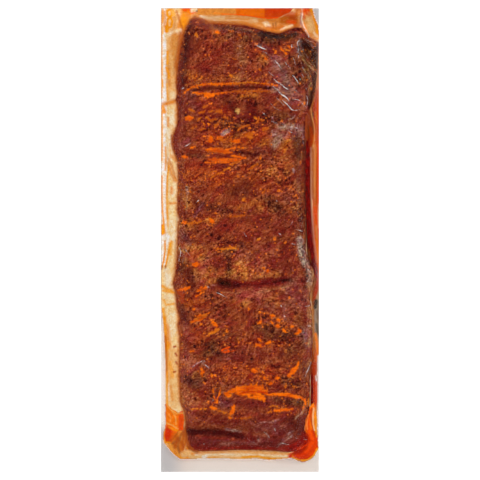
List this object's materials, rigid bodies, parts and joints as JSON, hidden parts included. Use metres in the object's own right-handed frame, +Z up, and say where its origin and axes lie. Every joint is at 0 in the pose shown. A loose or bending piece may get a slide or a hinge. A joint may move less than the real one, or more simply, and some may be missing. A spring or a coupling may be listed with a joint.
{
  "type": "vacuum-sealed rack of smoked spareribs",
  "caption": "Trimmed rack of smoked spareribs sealed in a clear flat vacuum bag, meat side up, with set fat along its edges and orange rendered fat in its furrows.",
  "frame": {"origin": "middle of the flat face that the bag rests on", "axes": "+X along the rib bones, to the right in the picture; +Y along the rack, up in the picture; +Z up, out of the meat side"},
  "size_m": [0.1422, 0.4176, 0.028],
  "materials": {
    "smoked_meat": "satin",
    "clear_film": "gloss",
    "set_fat": "satin",
    "rendered_fat": "gloss",
    "meat_juice": "gloss"
  },
  "bodies": {
    "root": {"sealed_pack": "smoked_meat"}
  },
  "joints": []
}
